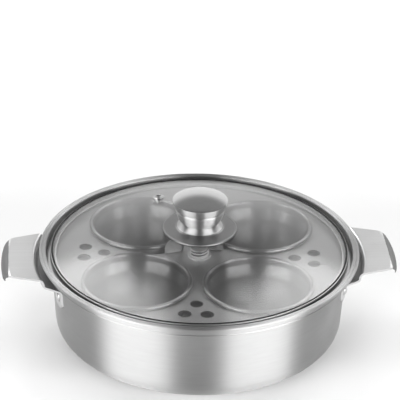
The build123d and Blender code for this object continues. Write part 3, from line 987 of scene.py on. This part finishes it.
@dataclass
class Lid:
    """The lid: domed glass in a steel band, with a steam vent.

    The band hooks over the glass, and a strip of painted shade, a near-black colour on the
    steel, lies inside the hook's edge, from hook_light in from its outside.
    """

    radius: float = 138.0
    band_sheet: float = 0.6
    band_bottom: float = 75.687
    band_height: float = 8.0
    hook: float = 2.3
    shelf: float = 5.4
    hem: float = 1.5
    gap: float = 0.1
    band_bends: tuple[float, ...] = (0.9, 0.7, 0.7, 0.7)
    hook_light: float = 1.0
    glass_radius: float = 137.2
    glass_sheet: float = 3.5
    glass_rise: float = 21.0
    glass_land: float = 0.5
    glass_bend: float = 0.4
    arc_step: float = 20.0
    hole: float = 4.5
    vent_reach: float = 83.102
    vent_angle: float = 114.0
    vent_tube: float = 3.8
    vent_flange: float = 5.8
    vent_bore: float = 2.4
    vent_crown: float = 2.4
    vent_lip: float = 1.0
    vent_top: tuple[float, float] = (0.5, 0.9)
    vent_slope: float = 0.3
    vent_bends: tuple[float, ...] = (0.15, 0.6, 0.4, 0.4, 0.1, 0.05, 0.05, 0.1, 0.4)
    vent_arc_step: float = 18.0
    dome_points: int = 56
    dome_segments: int = 192
    band_segments: int = 224
    vent_segments: int = 48

    @property
    def edge_top(self) -> float:
        """Height of the glass's upper edge."""
        return self.band_bottom + self.band_height - self.band_sheet - self.gap

    @property
    def crown(self) -> float:
        """Height of the glass's highest point."""
        return self.edge_top + self.glass_rise

    @property
    def sphere(self) -> float:
        """Radius of the glass's upper surface."""
        return (self.glass_radius**2 + self.glass_rise**2) / (2 * self.glass_rise)

    @property
    def lean(self) -> float:
        """Angle by which the glass's upper surface slopes at its edge, in radians."""
        return math.asin(self.glass_radius / self.sphere)

    def straight(self, radius: float) -> float:
        """Height of the straight that touches the upper surface at its edge, at a radius."""
        return self.edge_top + (self.glass_radius - radius) * math.tan(self.lean)

    def over(self, radius: Any) -> Any:
        """Height of the upper surface, a part of a sphere, at a distance from the axis."""
        return self.crown - self.sphere + np.sqrt(self.sphere**2 - np.square(radius))

    def under(self, radius: Any) -> Any:
        """Height of the lower surface at a distance from the axis."""
        return self.crown - self.sphere + np.sqrt((self.sphere - self.glass_sheet) ** 2 - np.square(radius))

    def glass(self) -> np.ndarray:
        """Works out the loop round the glass: over the dome, down its edge and back below."""
        reach = np.linspace(self.hole, self.glass_radius - self.glass_land, self.dome_points)
        above = np.stack([reach, self.over(reach)], axis=1)
        below = np.stack([reach, self.under(reach)], axis=1)[::-1]
        edge = rounded(
            [
                tuple(above[-1]),
                (self.glass_radius, float(self.over(self.glass_radius))),
                (self.glass_radius, float(self.under(self.glass_radius))),
                tuple(below[0]),
            ],
            [self.glass_bend] * 2,
            self.arc_step,
        )
        return np.concatenate([above, edge[1:-1], below])

    def band(self) -> np.ndarray:
        """Works out the loop round the band: over the glass, down, hemmed in and under it."""
        half = self.band_sheet / 2
        outside = self.radius - half
        hook = self.radius - self.hook
        tip = self.radius - self.shelf
        inside = outside - self.hem
        over = (self.gap + half) / math.cos(self.lean)
        fall = (self.under(tip) - self.under(self.glass_radius)) / (self.glass_radius - tip)
        points = [
            (hook, self.straight(hook) + over),
            (outside, self.straight(outside) + over),
            (outside, self.band_bottom + half),
            (inside, self.band_bottom + half),
            (inside, float(self.under(tip)) - (inside - tip) * fall - over),
            (tip, float(self.under(tip)) - over),
        ]
        return skin(rounded(points, self.band_bends), self.band_sheet)

    def vent(self) -> np.ndarray:
        """Works out the eyelet's loop: bore, domed top, flange, tube and spread foot."""
        under = -self.glass_sheet - self.gap
        mouth, fall = self.vent_top
        return rounded(
            [
                (self.vent_bore, under - self.vent_lip),
                (self.vent_bore, 2 * self.vent_lip),
                (self.vent_bore + mouth, self.vent_lip + self.vent_crown - fall),
                (self.vent_tube, self.vent_lip + self.vent_slope),
                (self.vent_flange, self.vent_lip),
                (self.vent_flange, self.gap),
                (self.vent_tube, self.gap),
                (self.vent_tube, under),
                (self.vent_flange, under),
                (self.vent_flange, under - self.vent_lip),
                (self.vent_bore + self.vent_slope, under - self.vent_lip),
            ],
            self.vent_bends,
            self.vent_arc_step,
        )

    def build(self) -> None:
        """Builds the glass, the band and the vent."""
        glass = revolve("glass_dome", self.glass(), self.dome_segments)
        dress(glass, "lid", LID_GLASS, "lid_glass")
        band = revolve("rim_band", self.band(), self.band_segments)
        dress(band, "lid", BAND_STEEL, "lid_band")
        away, high = from_axis(band), face_middles(band)[:, 2] > self.edge_top
        # Painted shade: a near-black strip on the band inside the hook's edge.
        refinish(band, HOOK_SHADE_STEEL, high & (away < self.radius - self.hook_light))
        # Painted light: the band's inner side takes a pale colour.
        refinish(band, BAND_INSIDE_LIT, ~high & (away < self.radius - self.band_sheet / 2))
        tilt = math.asin(self.vent_reach / self.sphere)
        place = (
            Matrix.Rotation(math.radians(self.vent_angle), 4, "Z")
            @ Matrix.Translation((0, 0, self.crown - self.sphere))
            @ Matrix.Rotation(tilt, 4, "Y")
            @ Matrix.Translation((0, 0, self.sphere))
        )
        vent = revolve("steam_vent", self.vent(), self.vent_segments, place=place)
        dress(vent, "lid", BAND_STEEL, "vent_eyelet")


@dataclass
class Knob:
    """The lid's knob: a flared skirt, a bowl-shaped body and a domed cap on a boss."""

    DOME: ClassVar[str] = "knob_dome"
    lid: Lid
    sheet: float = 0.8
    gap: float = 0.1
    base_radius: float = 34.4
    base_height: float = 9.0
    waist_radius: float = 17.2
    neck: float = 3.7
    skirt_gap: float = 0.2
    skirt_edge: float = 1.6
    skirt_rise: float = 3.4
    skirt_bends: tuple[float, ...] = (0.9, 5.0)
    bowl_step: float = 3.4
    bowl_height: float = 4.6
    bowl_bends: tuple[float, ...] = (9.0, 1.6)
    shoulder_radius: float = 23.0
    shoulder_height: float = 23.0
    cap_radius: float = 25.4
    cap_side: float = 7.5
    cap_bend: float = 1.6
    crown: float = 5.5
    boss_flange: float = 19.6
    dome_points: int = 25
    point_spacing: float = 1.5
    segments: int = 96

    @property
    def foot(self) -> float:
        """Height of the skirt's edge."""
        return float(self.lid.over(self.base_radius)) + self.skirt_gap

    def base(self) -> np.ndarray:
        """Works out the skirt's loop."""
        half = self.sheet / 2
        low = self.foot + half
        points = [
            (self.base_radius - half, low),
            (self.base_radius - half, low + self.skirt_edge),
            (self.waist_radius + self.neck, low + self.skirt_rise),
            (self.waist_radius - half, self.foot + self.base_height - half),
        ]
        return skin(drawn(rounded(points, self.skirt_bends), self.point_spacing), self.sheet)

    def body(self) -> np.ndarray:
        """Works out the bowl's loop."""
        half = self.sheet / 2
        low = self.foot + self.base_height + self.gap
        high = self.foot + self.shoulder_height - half
        points = [
            (self.waist_radius - half, low + half),
            (self.waist_radius - half + self.bowl_step, low + self.bowl_height),
            (self.shoulder_radius - half, high),
            (self.boss_flange, high),
        ]
        return skin(drawn(rounded(points, self.bowl_bends), self.point_spacing), self.sheet)

    def cap(self) -> np.ndarray:
        """Works out the cap's line: in from its open bottom, up its side and over the dome."""
        half = self.sheet / 2
        side = self.cap_radius - half
        low = self.foot + self.shoulder_height + self.gap + half
        edge = self.foot + self.shoulder_height + self.cap_side
        sphere = (side**2 + self.crown**2) / (2 * self.crown)
        wall = rounded(
            [(self.boss_flange + self.gap + half, low), (self.shoulder_radius, low), (side, edge)],
            [self.cap_bend],
        )
        reach = np.linspace(side, 0, self.dome_points)[1:]
        dome = np.stack([reach, edge + self.crown - sphere + np.sqrt(sphere**2 - reach**2)], axis=1)
        line = drawn(np.concatenate([wall, dome]), self.point_spacing)
        return skin(line, self.sheet, to_axis=True)

    def build(self) -> None:
        """Builds the knob's shells and dresses the boss, gasket and screw inside it."""
        skirt = revolve("knob_skirt", self.base(), self.segments)
        dress(skirt, "lid", KNOB_STEEL, "knob_base")
        # Painted shade: the skirt's flare takes a darker colour.
        refinish(skirt, SKIRT_SHADE_STEEL, from_axis(skirt) > self.waist_radius + self.neck)
        waist = revolve("knob_waist", self.body(), self.segments)
        dress(waist, "lid", KNOB_STEEL, "knob_body")
        dome = revolve(self.DOME, self.cap(), self.segments, closed=False)
        dress(dome, "lid", KNOB_STEEL, "knob_cap")
        edge = self.foot + self.shoulder_height + self.cap_side
        refinish(dome, CAP_STEEL, face_middles(dome)[:, 2] > edge)
        for node, finish in (
            ("knob_insert", KNOB_POLYMER),
            ("knob_gasket", GASKET_RUBBER),
            ("screw_washer", STUD_STEEL),
            ("knob_screw", STUD_STEEL),
        ):
            dress(from_node(node), "lid", finish, node)


@dataclass(frozen=True)
class SoftBoxes:
    """A pair of soft boxes, one to each side, that face the object.

    They hang aside, beyond and above it, in metres as the photographer sees them, and each is
    turned about the line to the object, in degrees, the left one the other way. The floor in
    plain light has a radiance of about 1. Light linking keeps each box's light from the
    flagged piece, as a small black flag before the box would.
    """

    name: str
    aside: float
    beyond: float
    above: float
    size: tuple[float, float]
    radiance: float
    turn: float = 0.0
    flagged: str | None = None


@dataclass
class Studio:
    """Pale floor, soft lights and the photograph's camera.

    Pixels are those of the photograph, which is frame_px wide and high.
    """

    frame_px: float = 400.0
    sensor: float = 36.0
    clip: tuple[float, float] = (0.05, 50.0)
    focal_px: float = 2184.8
    distance: float = 2000.0
    elevation: float = 28.0
    heading: float = -4.7
    roll: float = 1.13
    target: float = 133.5
    shift_px: float = 0.32
    front_glow: float = 0.15
    back_glow: float = 1.15
    high_glow: float = 0.3
    side_range: tuple[float, float] = (-0.3, 0.45)
    height_range: tuple[float, float] = (0.35, 0.65)
    glow_colour: str = "f8f8f8"
    floor_colour: str = "dcdcdc"
    floor_roughness: float = 0.9
    floor_reach: float = 3.0
    floor_back: float = 1.4
    aim_height: float = 0.1
    boxes: tuple[SoftBoxes, ...] = (
        SoftBoxes("front", 1.6, -1.6, 0.66, (2.2, 1.1), 8.5),
        SoftBoxes("top", 1.05, 1.3, 2.0, (1.2, 1.7), 3.7, 12.0, Knob.DOME),
    )

    def camera(self) -> None:
        """Places the camera that was fitted to the photograph's round outlines."""
        data = bpy.data.cameras.new("camera")
        data.sensor_width = self.sensor
        data.lens = self.focal_px * self.sensor / self.frame_px
        data.shift_x = -self.shift_px / self.frame_px
        data.clip_start, data.clip_end = self.clip
        turn = Matrix.Rotation(math.radians(self.heading), 3, "Z")
        tilt = math.radians(self.elevation)
        forward = turn @ Vector((0, math.cos(tilt), -math.sin(tilt)))
        right = turn @ Vector((1, 0, 0))
        up = right.cross(forward)
        r = math.radians(self.roll)
        right, up = right * math.cos(r) + up * math.sin(r), up * math.cos(r) - right * math.sin(r)
        camera = bpy.data.objects.new("camera", data)
        spot = Vector((0, 0, self.target)) - forward * self.distance
        axes = Matrix((right, up, -forward)).transposed().to_4x4()
        camera.matrix_world = Matrix.Translation(spot * MM) @ axes
        bpy.context.scene.collection.objects.link(camera)
        bpy.context.scene.camera = camera

    def floor(self) -> None:
        """Lays the plain pale floor, which ends behind the object out of the camera's sight."""
        mesh = bpy.data.meshes.new("floor")
        size, back = self.floor_reach, self.floor_back
        corners = [(-size, -size, 0), (size, -size, 0), (size, back, 0), (-size, back, 0)]
        mesh.from_pydata(corners, [], [(0, 1, 2, 3)])
        floor = bpy.data.objects.new("floor", mesh)
        bpy.context.scene.collection.objects.link(floor)
        material, tree = new_material("floor_paper")
        shader = add_node(
            tree,
            "ShaderNodeBsdfPrincipled",
            {"Base Color": linear(self.floor_colour), "Roughness": self.floor_roughness},
        )
        add_node(tree, "ShaderNodeOutputMaterial", {"Surface": shader.outputs[0]})
        mesh.materials.append(material)

    def lamp(self, box: SoftBoxes, side: int) -> None:
        """Hangs one soft box of a pair.

        Args:
            box: The pair.
            side: -1 for the left one, 1 for the right one.
        """
        name = f"{box.name}_{'left' if side < 0 else 'right'}_box"
        data = bpy.data.lights.new(name, "AREA")
        data.shape = "RECTANGLE"
        data.size, data.size_y = box.size
        data.energy = 4 * box.radiance * box.size[0] * box.size[1]
        lamp = bpy.data.objects.new(name, data)
        heading = Matrix.Rotation(math.radians(self.heading), 3, "Z")
        place = heading @ Vector((side * box.aside, box.beyond, box.above))
        aim = (Vector((0, 0, self.aim_height)) - place).to_track_quat("-Z", "Y").to_matrix().to_4x4()
        turn = Matrix.Rotation(math.radians(side * box.turn), 4, "Z")
        lamp.matrix_world = Matrix.Translation(place) @ aim @ turn
        bpy.context.scene.collection.objects.link(lamp)
        if box.flagged:
            shade = bpy.data.collections.new(name + "_flag")
            shade.objects.link(bpy.data.objects[box.flagged])
            shade.collection_objects[0].light_linking.link_state = "EXCLUDE"
            lamp.light_linking.receiver_collection = shade

    def world(self) -> None:
        """Fills the room with light that grows softly from the photographer's side to the back.

        The brightness follows the direction's part along the view, eased from front_glow to
        back_glow over side_range, times a factor that is eased from 1 to high_glow as the
        direction's height goes through height_range.
        """
        world = bpy.data.worlds.new("studio")
        world.use_nodes = True
        tree = world.node_tree
        tree.nodes.clear()
        a = math.radians(self.heading)
        direction = add_node(tree, "ShaderNodeTexCoord").outputs["Generated"]
        along = add_node(
            tree,
            "ShaderNodeVectorMath",
            {0: direction, 1: (-math.sin(a), math.cos(a), 0.0)},
            operation="DOT_PRODUCT",
        )
        around = add_node(
            tree,
            "ShaderNodeMapRange",
            {
                0: along.outputs["Value"],
                1: self.side_range[0],
                2: self.side_range[1],
                3: self.front_glow,
                4: self.back_glow,
            },
            interpolation_type="SMOOTHSTEP",
        )
        above = add_node(
            tree,
            "ShaderNodeMapRange",
            {
                0: add_node(tree, "ShaderNodeSeparateXYZ", {0: direction}).outputs["Z"],
                1: self.height_range[0],
                2: self.height_range[1],
                3: 1.0,
                4: self.high_glow,
            },
            interpolation_type="SMOOTHSTEP",
        )
        level = add_node(
            tree, "ShaderNodeMath", {0: around.outputs[0], 1: above.outputs[0]}, operation="MULTIPLY"
        )
        glow = add_node(
            tree,
            "ShaderNodeBackground",
            {"Color": linear(self.glow_colour), "Strength": level.outputs[0]},
        )
        add_node(tree, "ShaderNodeOutputWorld", {"Surface": glow.outputs[0]})
        bpy.context.scene.world = world

    def build(self) -> None:
        """Sets up the floor, the lamps, the room's light and the camera."""
        self.floor()
        for box in self.boxes:
            for side in (-1, 1):
                self.lamp(box, side)
        self.world()
        bpy.context.scene.view_settings.view_transform = "Standard"
        self.camera()


def main() -> None:
    """Builds every sub-assembly, then the studio."""
    logging.basicConfig(level=logging.INFO, format="%(name)s: %(message)s")
    Pan().build()
    Tray().build()
    for name, body, column, row in (
        ("front_left", "cup_1", -1, -1),
        ("front_right", "cup_2", 1, -1),
        ("back_left", "cup_3", -1, 1),
        ("back_right", "cup_4", 1, 1),
    ):
        Cup(name, body, column, row).build()
    lid = Lid()
    lid.build()
    Knob(lid).build()
    Studio().build()


if __name__ == "__main__":
    main()
